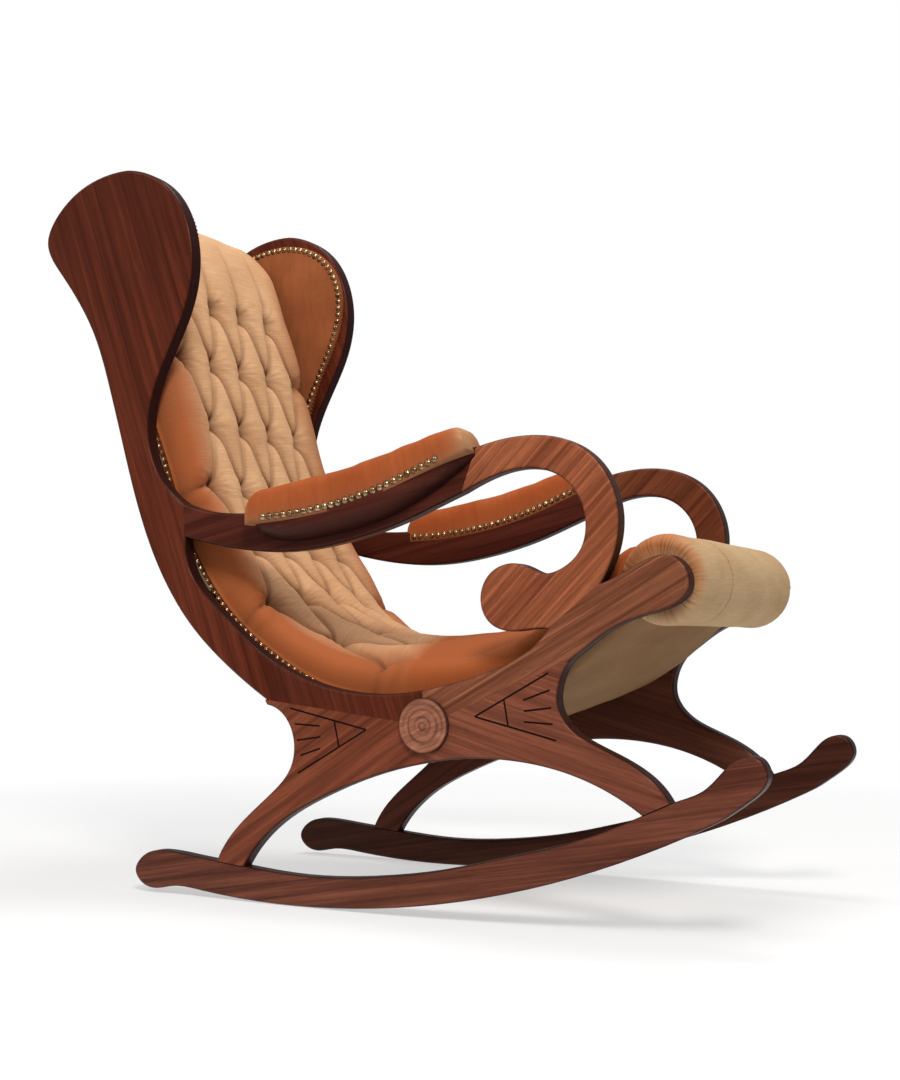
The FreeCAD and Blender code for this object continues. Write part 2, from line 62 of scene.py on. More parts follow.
# --- smooth paths -----------------------------------------------------------------------------
class Path:
    """A natural cubic spline through (x, z) points given in millimetres."""

    def __init__(self, points, samples=1200):
        knots = np.array(points, float) * MM
        chord = np.concatenate([[0], np.cumsum(np.linalg.norm(np.diff(knots, axis=0), axis=1))])
        n = len(knots)
        step = np.diff(chord)
        matrix = np.eye(n)
        right = np.zeros((n, 2))
        for i in range(1, n - 1):
            matrix[i, i - 1:i + 2] = step[i - 1], 2 * (step[i - 1] + step[i]), step[i]
            right[i] = 6 * ((knots[i + 1] - knots[i]) / step[i] - (knots[i] - knots[i - 1]) / step[i - 1])
        bend = np.linalg.solve(matrix, right)
        t = np.linspace(0, chord[-1], samples)
        k = np.clip(np.searchsorted(chord, t) - 1, 0, n - 2)
        h = step[k][:, None]
        a = (chord[k + 1] - t)[:, None]
        b = (t - chord[k])[:, None]
        self.points = (
            bend[k] * a**3 / (6 * h) + bend[k + 1] * b**3 / (6 * h)
            + (knots[k] / h - bend[k] * h / 6) * a + (knots[k + 1] / h - bend[k + 1] * h / 6) * b
        )
        self.run = np.concatenate([[0], np.cumsum(np.linalg.norm(np.diff(self.points, axis=0), axis=1))])
        self.length = self.run[-1]

    def at(self, s):
        """Points at distances s."""
        return np.stack([np.interp(s, self.run, self.points[:, i]) for i in (0, 1)], -1)

    def front(self, s, reach=2 * MM):
        """Unit normals on the front side at distances s."""
        way = self.at(np.minimum(s + reach, self.length)) - self.at(np.maximum(s - reach, 0))
        way /= np.linalg.norm(way, axis=-1, keepdims=True)
        return np.stack([-way[..., 1], way[..., 0]], -1)

    def facing(self, other, s):
        """Distances on this path that lie opposite the distances s on the other one, in order."""
        gaps = np.linalg.norm(other.at(s)[:, None] - self.points[None], axis=-1)
        nearest = np.maximum.accumulate(self.run[gaps.argmin(axis=1)])
        nearest[-1] = self.length
        width = max(3, len(s) // 16) | 1
        padded = np.concatenate([
            2 * nearest[0] - nearest[1:width][::-1], nearest, 2 * nearest[-1] - nearest[-width:-1][::-1]])
        smooth = np.convolve(padded, np.ones(width) / width, "same")[width - 1:width - 1 + len(s)]
        return np.clip(smooth, 0, self.length)


# The lines that the CAD pieces follow: the squab's back and crown, the covers, the seat of the
# arm pads, and the rim and back edge of the wing linings.
SLING = Path([
    (-536, 1040), (-480, 953), (-434, 822), (-389, 708), (-357, 628), (-321, 534), (-285, 470),
    (-229, 404), (-158, 351), (-87, 314), (7, 292), (102, 297), (192, 318), (268, 349), (352, 410),
])
CROWN = Path([
    (-504, 1080), (-470, 1058), (-423, 982), (-374, 842), (-334, 705), (-300, 590), (-256, 500),
    (-205, 440), (-115, 390), (-21, 373), (102, 382), (177, 395), (262, 417), (352, 455), (394, 474),
])
OUTER_COVER = Path([
    (-510, 1084), (-540, 1069), (-562, 1032), (-552, 972), (-499, 891), (-466, 835), (-438, 760),
    (-411, 673), (-382, 585), (-352, 512), (-314, 452), (-276, 402), (-222, 351), (-164, 310),
    (-98, 268), (-8, 238), (72, 234), (128, 252), (182, 272), (250, 299), (321, 340), (364, 374), (404, 396),
])
PAD_SEAT = Path([(-165, 549), (-111, 551), (-50, 558), (39, 578), (122, 609), (181, 632)])
WING_RIM = Path([
    (-372, 748), (-349, 820), (-310, 904), (-299, 960), (-305, 1004), (-336, 1051), (-394, 1080),
    (-455, 1083), (-500, 1074),
])
WING_BACK = Path([(-500, 1074), (-473, 957), (-428, 847), (-372, 748)])


# --- mesh building ----------------------------------------------------------------------------
def smoothed_noise(shape, cells, seed):
    """Smooth random relief in -1..1 on a grid, with the given number of cells each way."""
    rng = np.random.default_rng(seed)
    coarse = rng.uniform(-1, 1, (cells[0] + 3, cells[1] + 3))
    out = coarse
    for axis, size in enumerate(shape):
        t = np.linspace(0, cells[axis], size)
        k = np.minimum(t.astype(int), cells[axis] - 1)
        f = t - k
        f = f * f * (3 - 2 * f)
        low = np.take(out, k, axis=axis)
        high = np.take(out, k + 1, axis=axis)
        f = f[:, None] if axis == 0 else f[None, :]
        out = low * (1 - f) + high * f
    return out


def grid_faces(rows, cols, wrap=False, offset=0, flip=False):
    """Quads of a rows x cols grid of vertices; wrap joins the last column to the first."""
    faces = []
    for i in range(rows - 1):
        for j in range(cols if wrap else cols - 1):
            k = (j + 1) % cols
            quad = (i * cols + j, i * cols + k, (i + 1) * cols + k, (i + 1) * cols + j)
            faces.append(tuple(offset + q for q in (quad[::-1] if flip else quad)))
    return faces


def make_object(name, verts, faces, material, uv=None, painted_shade=None, nap_and_sheen=None):
    """A smooth-shaded mesh object with outward normals and the optional values per vertex."""
    mesh = bpy.data.meshes.new(name)
    mesh.from_pydata([tuple(v) for v in np.asarray(verts, float)], [], faces)
    mesh.polygons.foreach_set("use_smooth", [True] * len(mesh.polygons))
    if uv is not None:
        layer = mesh.uv_layers.new(name="UVMap")
        index = np.zeros(len(mesh.loops), int)
        mesh.loops.foreach_get("vertex_index", index)
        layer.data.foreach_set("uv", np.asarray(uv, float)[index].ravel())
    for title, values in (("painted_shade", painted_shade), ("nap_and_sheen", nap_and_sheen)):
        if values is not None:
            layer = mesh.attributes.new(title, "FLOAT", "POINT")
            layer.data.foreach_set("value", np.asarray(values, np.float32))
    mesh.materials.append(material)
    shell = bmesh.new()
    shell.from_mesh(mesh)
    bmesh.ops.recalc_face_normals(shell, faces=shell.faces)
    shell.to_mesh(mesh)
    shell.free()
    obj = bpy.data.objects.new(name, mesh)
    bpy.context.scene.collection.objects.link(obj)
    return obj


# --- node helpers -----------------------------------------------------------------------------
class Nodes:
    """Short way to build one material's node tree."""

    def __init__(self, name):
        self.material = bpy.data.materials.new(name)
        self.material.use_nodes = True
        self.tree = self.material.node_tree
        self.shader = self.tree.nodes["Principled BSDF"]

    def add(self, kind, **values):
        node = self.tree.nodes.new(kind)
        for key, value in values.items():
            if key in node.inputs:
                node.inputs[key].default_value = value
            else:
                setattr(node, key, value)
        return node

    def link(self, source, target):
        self.tree.links.new(source, target)

    def mapping(self, space="Object", rotation=(0, 0, 0), scale=(1, 1, 1), shift=(0, 0, 0)):
        """Turned and shifted coordinates, then stretched along the turned axes."""
        coordinates = self.add("ShaderNodeTexCoord")
        turned = self.add("ShaderNodeMapping", Rotation=rotation, Location=shift)
        self.link(coordinates.outputs[space], turned.inputs["Vector"])
        stretched = self.add("ShaderNodeMapping", Scale=scale)
        self.link(turned.outputs["Vector"], stretched.inputs["Vector"])
        return stretched.outputs["Vector"]

    def noise(self, vector, scale, detail=4.0, roughness=0.55, distortion=0.0):
        node = self.add("ShaderNodeTexNoise", Scale=scale, Detail=detail, Roughness=roughness,
                        Distortion=distortion)
        self.link(vector, node.inputs["Vector"])
        return node.outputs["Fac"]

    def wave(self, vector, scale, distortion=0.0, detail=2.0, direction="X", detail_scale=1.0):
        node = self.add("ShaderNodeTexWave", Scale=scale, Distortion=distortion, Detail=detail)
        node.inputs["Detail Scale"].default_value = detail_scale
        node.bands_direction = direction
        self.link(vector, node.inputs["Vector"])
        return node.outputs["Fac"]

    def ramp(self, factor, *stops):
        node = self.add("ShaderNodeValToRGB")
        elements = node.color_ramp.elements
        while len(elements) < len(stops):
            elements.new(0.5)
        for element, (place, colour) in zip(elements, stops):
            element.position = place
            element.color = (*colour, 1)
        self.link(factor, node.inputs["Fac"])
        return node.outputs["Color"]

    def grey(self, factor, low, high, to_low=0.0, to_high=1.0):
        """Map low..high to to_low..to_high, clamped at both ends."""
        node = self.add("ShaderNodeMapRange")
        for key, value in (("From Min", low), ("From Max", high), ("To Min", to_low), ("To Max", to_high)):
            node.inputs[key].default_value = value
        self.link(factor, node.inputs["Value"])
        return node.outputs["Result"]

    def mix(self, factor, a, b):
        """Blend two colours; the node's colour sockets are numbers 6 and 7."""
        node = self.add("ShaderNodeMix", data_type="RGBA")
        for value, key in ((factor, 0), (a, 6), (b, 7)):
            if isinstance(value, (int, float)):
                node.inputs[key].default_value = value
            elif isinstance(value, tuple):
                node.inputs[key].default_value = (*value, 1)
            else:
                self.link(value, node.inputs[key])
        return node.outputs[2]

    def math(self, kind, a, b=0.0):
        node = self.add("ShaderNodeMath", operation=kind)
        for i, value in enumerate((a, b)):
            if isinstance(value, (int, float)):
                node.inputs[i].default_value = value
            else:
                self.link(value, node.inputs[i])
        return node.outputs[0]

    def attribute(self, name):
        return self.add("ShaderNodeAttribute", attribute_name=name).outputs["Fac"]

    def side(self):
        """1 on the wide faces that look along Y, 0 on the edges."""
        geometry = self.add("ShaderNodeNewGeometry")
        split = self.add("ShaderNodeSeparateXYZ")
        self.link(geometry.outputs["Normal"], split.inputs["Vector"])
        return self.math("ABSOLUTE", split.outputs["Y"])

    def depth_band(self, low, high):
        """1 where the distance from the middle plane lies between low and high."""
        split = self.add("ShaderNodeSeparateXYZ")
        self.link(self.add("ShaderNodeTexCoord").outputs["Object"], split.inputs["Vector"])
        away = self.math("ABSOLUTE", split.outputs["Y"])
        return self.math("MULTIPLY", self.math("GREATER_THAN", away, low), self.math("LESS_THAN", away, high))

    def bump(self, *layers):
        """Chain bumps: (height socket, distance in metres, strength)."""
        previous = None
        for height, distance, strength in layers:
            node = self.add("ShaderNodeBump", Distance=distance, Strength=strength)
            self.link(height, node.inputs["Height"])
            if previous:
                self.link(previous, node.inputs["Normal"])
            previous = node.outputs["Normal"]
        self.link(previous, self.shader.inputs["Normal"])

    def finish(self, colour, roughness, **constants):
        """Connect the colour and roughness, set the other shader sockets, and return the material."""
        self.link(colour, self.shader.inputs["Base Color"])
        if isinstance(roughness, (int, float)):
            self.shader.inputs["Roughness"].default_value = roughness
        else:
            self.link(roughness, self.shader.inputs["Roughness"])
        for key, value in constants.items():
            self.shader.inputs[key.replace("_", " ")].default_value = value
        return self.material


# --- materials --------------------------------------------------------------------------------
def mahogany(name, angle, dark, light, figure, pale, offset):
    """Stained and polished mahogany whose grain runs at the given angle from +X, in degrees.

    figure sets how strong the dark growth lines are and pale how strong the thin light ones.
    """
    m = Nodes(name)
    turn = (0, math.radians(angle), 0)
    shift = (offset, offset * 2, offset * 3)
    cloud = m.noise(m.mapping(rotation=turn, scale=(1.6, 9, 12), shift=shift), 1.0, 6.0, 0.6)
    streak = m.noise(m.mapping(rotation=turn, scale=(2.2, 60, 70), shift=shift), 1.0, 8.0, 0.62, 0.3)
    fibres = m.noise(m.mapping(rotation=turn, scale=(9, 300, 380), shift=shift), 1.0, 5.0, 0.7)
    pores = m.noise(m.mapping(rotation=turn, scale=(45, 1300, 1300), shift=shift), 1.0, 2.0, 0.5)
    rings = m.wave(m.mapping(rotation=turn, scale=(0.9, 5, 13), shift=shift), 1.0, distortion=9.0, detail=4.0,
                   direction="Z", detail_scale=0.55)
    base = m.ramp(m.grey(cloud, 0.33, 0.68), (0.0, dark), (1.0, light))
    streaked = m.mix(m.grey(streak, 0.40, 0.66, 0.0, 0.5), base, tuple(0.42 * c for c in dark))
    lit = m.mix(m.grey(streak, 0.48, 0.30, 0.0, 0.35), streaked, tuple(min(1.0, 1.35 * c) for c in light))
    hairs = m.noise(m.mapping(rotation=turn, scale=(3.2, 170, 210), shift=shift), 1.0, 3.0, 0.5)
    ringed = m.mix(m.grey(rings, 0.84, 1.0, 0.0, figure), lit, tuple(0.4 * c for c in dark))
    haired = m.mix(m.grey(hairs, 0.54, 0.66, 0.0, pale), ringed, tuple(min(1.0, 1.7 * c) for c in light))
    fine = m.mix(m.grey(fibres, 0.45, 0.7, 0.0, 0.45), haired, tuple(0.45 * c for c in dark))
    pored = m.mix(m.grey(pores, 0.62, 0.72, 0.0, 0.5), fine, (0.02, 0.007, 0.005))
    # painted shade on the floors of the carved grooves
    carved = m.math("MULTIPLY", m.depth_band(OUTER - 2.6 * MM, OUTER - 0.6 * MM), m.grey(m.side(), 0.9, 0.99))
    with_painted_light = m.mix(carved, pored, (0.018, 0.006, 0.005))
    # darker on the narrow edge faces: partly a darker finish, partly painted shade
    edge_finish_and_shade = m.mix(m.grey(m.side(), 0.35, 0.97, 0.88, 0.0), with_painted_light, (0.014, 0.005, 0.005))
    rough = m.grey(fibres, 0.3, 0.8, 0.26, 0.44)
    m.bump((pores, 0.0006, 0.25), (fibres, 0.0005, 0.25))
    m.link(m.grey(m.side(), 0.35, 0.97, 0.05, 0.2), m.shader.inputs["Specular IOR Level"])
    return m.finish(edge_finish_and_shade, rough, Coat_Weight=0.03, Coat_Roughness=0.2, Specular_Tint=(0.75, 0.42, 0.32, 1))


def velvet(name, light, deep, shadow, other, nap_lines, streaks=0.4, sheen=0.6):
    """Cotton velvet with a fine rib, brushed patches of pile, and painted shade in the folds.

    The colour turns towards the other colour as a per-vertex value rises: partly pile laid the other way,
    partly painted sheen.
    """
    m = Nodes(name)
    uv = m.mapping("UV")
    patch = m.noise(m.mapping("UV", scale=(9, 9, 1)), 1.0, 4.0, 0.6)
    brushed = m.noise(m.mapping("UV", scale=nap_lines), 1.0, 3.0, 0.6)
    pile = m.noise(uv, 2600.0, 2.0, 0.6)
    painted_shade = m.attribute("painted_shade")
    base = m.mix(m.grey(patch, 0.32, 0.68), light, deep)
    combed = m.mix(m.grey(brushed, 0.5, 0.82, 0.0, streaks), base, tuple(min(1.0, 1.45 * c) for c in light))
    laid = m.mix(m.grey(brushed, 0.5, 0.22, 0.0, streaks), combed, tuple(0.62 * c for c in deep))
    # partly pile laid the other way, partly painted sheen, towards the other colour
    with_painted_light = m.mix(m.attribute("nap_and_sheen"), laid, other)
    speck = m.mix(m.grey(pile, 0.45, 0.8, 0.0, 0.18), with_painted_light, shadow)
    # painted shade in the creases, pits, seams and tucked edges, where the per-vertex shade value rises
    painted_fold_shade = m.mix(m.grey(painted_shade, 0.0, 1.0, 0.0, 0.9), speck, shadow)
    m.bump((brushed, 0.0012, 0.5), (pile, 0.0004, 0.35), (patch, 0.004, 0.12))
    return m.finish(painted_fold_shade, 0.86, Sheen_Weight=sheen, Sheen_Roughness=0.42,
                    Sheen_Tint=(*tuple(min(1.0, c * 1.6) for c in light), 1), Specular_IOR_Level=0.18)


def woven(name, light, dark, threads):
    """Plain-weave cloth, with the thread count per metre."""
    m = Nodes(name)
    warp = m.wave(m.mapping("UV", scale=(threads, 0, 0)), 1.0, distortion=0.6, direction="X")
    weft = m.wave(m.mapping("UV", scale=(0, threads, 0)), 1.0, distortion=0.6, direction="Y")
    weave = m.math("MAXIMUM", warp, weft)
    patch = m.noise(m.mapping("UV", scale=(5, 7, 1)), 1.0, 5.0, 0.65)
    slub = m.noise(m.mapping("UV", scale=(20, 300, 1)), 1.0, 3.0, 0.6)
    base = m.mix(m.grey(patch, 0.3, 0.7), light, dark)
    lined = m.mix(m.grey(slub, 0.5, 0.8, 0.0, 0.35), base, dark)
    crossed = m.mix(m.grey(weave, 0.3, 1.0, 0.0, 0.35), lined, tuple(0.6 * c for c in dark))
    painted_shade = m.attribute("painted_shade")
    # painted shade where the per-vertex shade value rises
    shaded = m.mix(m.grey(painted_shade, 0.0, 1.0, 0.0, 0.8), crossed, tuple(0.35 * c for c in dark))
    m.bump((weave, 0.0005, 0.4), (patch, 0.003, 0.15))
    return m.finish(shaded, 0.9, Sheen_Weight=0.12, Sheen_Roughness=0.5, Sheen_Tint=(*light, 1),
                    Specular_IOR_Level=0.15)


def antique_brass():
    """Dark, aged brass with pale rubbed spots."""
    m = Nodes("antique_brass_domes")
    vector = m.mapping()
    tarnish = m.noise(vector, 160.0, 4.0, 0.6)
    scratch = m.noise(vector, 900.0, 2.0)
    colour = m.ramp(m.grey(tarnish, 0.35, 0.7), (0.0, (0.50, 0.36, 0.20)), (0.5, (0.22, 0.14, 0.07)),
                    (1.0, (0.05, 0.03, 0.018)))
    rough = m.grey(tarnish, 0.3, 0.7, 0.16, 0.38)
    m.bump((scratch, 0.0003, 0.2))
    return m.finish(colour, rough, Metallic=0.95)


def raw_beech():
    """Unfinished beech with short flecks, for the pieces that the upholstery hides."""
    m = Nodes("raw_beech")
    vector = m.mapping(scale=(30, 2, 30))
    grain = m.noise(vector, 4.0, 6.0, 0.7)
    fleck = m.noise(m.mapping(scale=(200, 14, 200)), 3.0, 2.0)
    base = m.ramp(m.grey(grain, 0.3, 0.7), (0.0, (0.42, 0.27, 0.15)), (1.0, (0.58, 0.42, 0.27)))
    colour = m.mix(m.grey(fleck, 0.6, 0.72, 0.0, 0.6), base, (0.25, 0.14, 0.07))
    m.bump((grain, 0.0006, 0.3))
    return m.finish(colour, 0.62)


def jute():
    """Coarse webbing bands."""
    m = Nodes("jute_webbing")
    vector = m.mapping(scale=(500, 300, 500))
    warp = m.wave(vector, 1.0, 0.8, direction="X")
    weft = m.wave(vector, 1.0, 0.8, direction="Y")
    weave = m.math("MAXIMUM", warp, weft)
    patch = m.noise(m.mapping(), 40.0, 4.0)
    base = m.ramp(patch, (0.3, (0.46, 0.35, 0.2)), (0.7, (0.34, 0.25, 0.13)))
    colour = m.mix(weave, base, (0.16, 0.11, 0.06))
    m.bump((weave, 0.0008, 0.5))
    return m.finish(colour, 0.92)


def floor_material():
    """Pale floor that fades out with distance from the chair."""
    m = Nodes("studio_floor")
    tint = m.noise(m.mapping(), 0.6, 2.0)
    colour = m.ramp(tint, (0.0, (0.46, 0.46, 0.46)), (1.0, (0.5, 0.5, 0.5)))
    m.shader.inputs["Emission Color"].default_value = (1, 1, 1, 1)
    m.shader.inputs["Emission Strength"].default_value = 0.5
    reach = m.add("ShaderNodeVectorMath", operation="LENGTH")
    m.link(m.mapping(), reach.inputs[0])
    fade = m.grey(reach.outputs["Value"], 0.9, 2.0, 1.0, 0.0)
    m.link(fade, m.shader.inputs["Alpha"])
    return m.finish(colour, 0.8, Specular_IOR_Level=0.0)


# each kind of board: grain angle, dark and light colour, strength of the dark growth lines and
# of the thin light ones, and the offset that gives the board its own piece of the pattern
BOARDS = {
    "back_stile": (110, (0.082, 0.014, 0.006), (0.148, 0.031, 0.014), 0.35, 0.12, 0.3),
    "rear_leg": (33, (0.140, 0.032, 0.016), (0.255, 0.070, 0.033), 0.4, 0.25, 1.7),
    "front_leg": (-16, (0.140, 0.038, 0.022), (0.250, 0.080, 0.044), 0.3, 0.3, 2.9),
    "seat_rail": (29, (0.142, 0.039, 0.019), (0.262, 0.092, 0.046), 0.5, 0.6, 4.1),
    "rocker": (10, (0.085, 0.022, 0.014), (0.215, 0.070, 0.040), 0.4, 0.25, 5.3),
    "arm": (12, (0.062, 0.012, 0.008), (0.115, 0.027, 0.015), 0.3, 0.05, 6.5),
    "arm_scroll": (45, (0.225, 0.056, 0.024), (0.395, 0.125, 0.055), 0.4, 0.3, 7.7),
    "roundel": (20, (0.240, 0.080, 0.044), (0.410, 0.170, 0.105), 0.3, 0.2, 8.9),
}
# how much darker the boards of the left side are painted, as painted shade
FAR_SHADE = {"rear_leg": 0.42, "front_leg": 0.42, "rocker": 0.42, "arm_scroll": 0.55, "seat_rail": 0.5,
             "roundel": 0.55}


def board_material(name, stem):
    """The boards of the left side are painted darker than those of the right side, as painted shade."""
    angle, dark, light, figure, pale, offset = BOARDS[stem]
    # painted shade: darker copies of the same boards on the left side
    shade = FAR_SHADE.get(stem, 1.0) if name.endswith("_left") else 1.0
    dark = tuple(shade * c for c in dark)
    light = tuple(shade * c for c in light)
    return mahogany(f"mahogany_{name}", angle, dark, light, figure, pale * shade, offset)


BRASS = antique_brass()
BEECH = raw_beech()
JUTE = jute()
TAN = velvet("tan_velvet_pile", (0.65, 0.39, 0.21), (0.53, 0.29, 0.145), (0.12, 0.038, 0.012),
             (0.35, 0.085, 0.021), (22, 420, 1), 0.38, 0.10)
LINING_CLOTH = velvet("orange_velvet_lining", (0.34, 0.108, 0.036), (0.24, 0.070, 0.022), (0.08, 0.02, 0.006),
                      (0.36, 0.115, 0.032), (90, 9, 1), 0.2, 0.22)
ORANGE = velvet("orange_velvet_pile", (0.42, 0.100, 0.025), (0.32, 0.064, 0.014), (0.08, 0.02, 0.006),
                (0.66, 0.36, 0.18), (90, 9, 1), 0.20, 0.22)
KHAKI = velvet("khaki_velvet_pile", (0.56, 0.39, 0.22), (0.46, 0.29, 0.145), (0.15, 0.055, 0.018),
               (0.50, 0.175, 0.065), (28, 360, 1), 0.22, 0.15)
COVER = woven("cover_cloth_weave", (0.33, 0.19, 0.09), (0.22, 0.115, 0.05), 300)


def finish_cad_nodes():
    """Give every CAD piece that stays its own surface."""
    for name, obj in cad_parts.items():
        stem = name.removesuffix("_right").removesuffix("_left")
        if stem in BOARDS:
            material = board_material(name, stem)
        elif "nails" in stem:
            material = BRASS
        elif "webbing" in stem:
            material = JUTE
        elif "squab" in stem:
            material = TAN
        elif "battens" in stem:
            material = board_material(name, "arm")
        else:
            material = BEECH
        obj.data.materials.clear()
        obj.data.materials.append(material)


# --- the buttoned squab -----------------------------------------------------------------------
TUFT_ROWS = 8
PILLOW_REACH = 36 * MM                            # how far a crease pulls the surface down beside it
PILLOW_DEPTH = 23 * MM
PILLOW_SWELL = 10 * MM                            # how far the pillows stand above the crown line
BEND_SWELL = 14 * MM                              # extra fullness where the back turns into the seat
BEND_PLACE = 0.69                                 # and where that is, from the head along the crown
BEND_SPREAD = 0.15
SEAT_FALL = 34 * MM                               # fall of the seat from its middle to the outer buttons
SEAT_START = 0.62
SEAT_EASE = 0.28                                  # length over which the fall sets in
OUTER_BUTTONS = 0.156                             # half width at the outermost buttons
PIT_ABOVE = 10 * MM                               # each pit is steep above its button and gentle below
PIT_BELOW = 23 * MM
PIT_WIDTH = 13 * MM
PIT_DEPTH = 12 * MM
TUCK_WIDTH = 1.6 * MM
TUCK_DEPTH = 1.6 * MM
BUTTON_RADIUS = 8 * MM
BUTTON_HEIGHT = 4.5 * MM
BORDER_LIFT = 1.3 * MM
ROLL_GAP = 0.8 * MM                               # least gap between the squab and the front roll


def tuft_places():
    """(s, y) of each button, by row."""
    rows = []
    for row in range(TUFT_ROWS):
        count = 4 if row % 2 == 0 else 5
        s = TUFT_START + TUFT_STEP * row
        rows.append([(s, (i - (count - 1) / 2) * TUFT_PITCH) for i in range(count)])
    return rows


def pleats():
    """Crease segments between buttons: (s0, y0, s1, y1, depth at each end)."""
    rows = tuft_places()
    creases = []
    for upper, lower in zip(rows, rows[1:]):
        for s0, y0 in upper:
            for s1, y1 in lower:
                if abs(y0 - y1) < TUFT_PITCH * 0.6:
                    creases.append((s0, y0, s1, y1, 1.0, 1.0))
    for s, y in rows[0]:
        creases.append((s, y, s - 0.13, y * 1.03, 1.0, 0.12))
    for row in rows[1::2]:
        for s, y in (row[0], row[-1]):
            creases.append((s, y, s + 0.012, math.copysign(SQUAB_SIDE, y), 1.0, 0.55))
    for s, y in rows[-1][1:-1]:
        creases.append((s, y, s + 0.075, y * 1.02, 0.9, 0.0))
    return creases


def squab_relief(s, y):
    """Depth of the buttoned relief below the crown and the painted shade of its creases, pits and down-turned
    slopes, over a grid of (s, y).
    """
    dent = np.zeros(s.shape)
    line = np.zeros(s.shape)
    tuck = np.zeros(s.shape)
    for s0, y0, s1, y1, d0, d1 in pleats():
        ds, dy = s1 - s0, y1 - y0
        length = math.hypot(ds, dy)
        free = ((s - s0) * ds + (y - y0) * dy) / length**2
        t = np.clip(free, 0, 1)
        slanted = abs(dy) > 0.3 * abs(ds)
        bow = (2.4 if slanted else 1.5) * MM * np.sin(2 * math.pi * t) * math.copysign(1, dy)
        along_s, along_y = s0 + t * ds, y0 + t * dy + bow
        gap = np.hypot(s - along_s, y - along_y)
        share = (d0 + (d1 - d0) * t) * (1 - 0.22 * np.sin(math.pi * t))
        u = np.clip(1 - gap / PILLOW_REACH, 0, 1)
        dent = np.maximum(dent, share * (1 - np.sqrt(np.clip(1 - u**2, 0, 1))))
        line = np.maximum(line, share * np.exp(-gap / (2.4 * MM)))
        # cloth folded over along the crease leaves shallower lines that run together at its lower end
        on = t**1.2 * (1 - t) ** 0.25 * (np.abs(free - 0.5) < 0.5) * min(d1, d0 + 0.3)
        for spread, strength in ((7 * MM, 1.0), (-5 * MM, 0.7)):
            beside = y - along_y - spread * (1 - t) ** 0.6
            tuck = np.maximum(tuck, strength * on * np.exp(-((beside / TUCK_WIDTH) ** 2)))
    pit = np.zeros(s.shape)
    for row in tuft_places():
        for s0, y0 in row:
            reach = np.where(s > s0, PIT_BELOW, PIT_ABOVE)
            pit = np.maximum(pit, np.exp(-(((s - s0) / reach) ** 2) - ((y - y0) / PIT_WIDTH) ** 2))
    depth = PILLOW_DEPTH * dent + PIT_DEPTH * pit + TUCK_DEPTH * tuck
    # painted shade where the surface turns down towards the next crease
    turned_down = np.clip(np.gradient(depth, s[1, 0] - s[0, 0], axis=0) / 0.9, 0, 1)
    # painted shade in the creases, the tucks beside them, the pits and the dents
    painted_shade = np.clip(0.95 * line + 0.6 * tuck + 0.6 * pit**2 + 0.3 * dent**2 + 0.4 * turned_down**1.3, 0, 1)
    return depth, painted_shade


def seat_fall(s, y):
    """How far the seat lies below its middle at (s, y)."""
    onto_seat = np.clip((s - SEAT_START) / SEAT_EASE, 0, 1)
    return SEAT_FALL * onto_seat**2 * (3 - 2 * onto_seat) * np.minimum(np.abs(y) / OUTER_BUTTONS, 1) ** 2.4


def bend_swell(s):
    return BEND_SWELL * np.exp(-(((s - BEND_PLACE) / BEND_SPREAD) ** 2))


def small_wrinkles(s, y):
    """Fine gathers that run out from each button along its pleats."""
    relief = np.zeros(s.shape)
    for row in tuft_places():
        for s0, y0 in row:
            ds, dy = s - s0, y - y0
            r = np.hypot(ds, dy)
            angle = np.arctan2(dy, ds)
            fade = np.exp(-((r - 20 * MM) / (16 * MM)) ** 2)
            phase = 3.1 * math.sin(40 * s0 + 17 * y0) + 2.4 * np.sin(2 * angle + 31 * s0)
            relief += fade * 0.8 * MM * np.sin(11 * angle + phase) * np.abs(np.cos(angle)) ** 0.5
    return relief


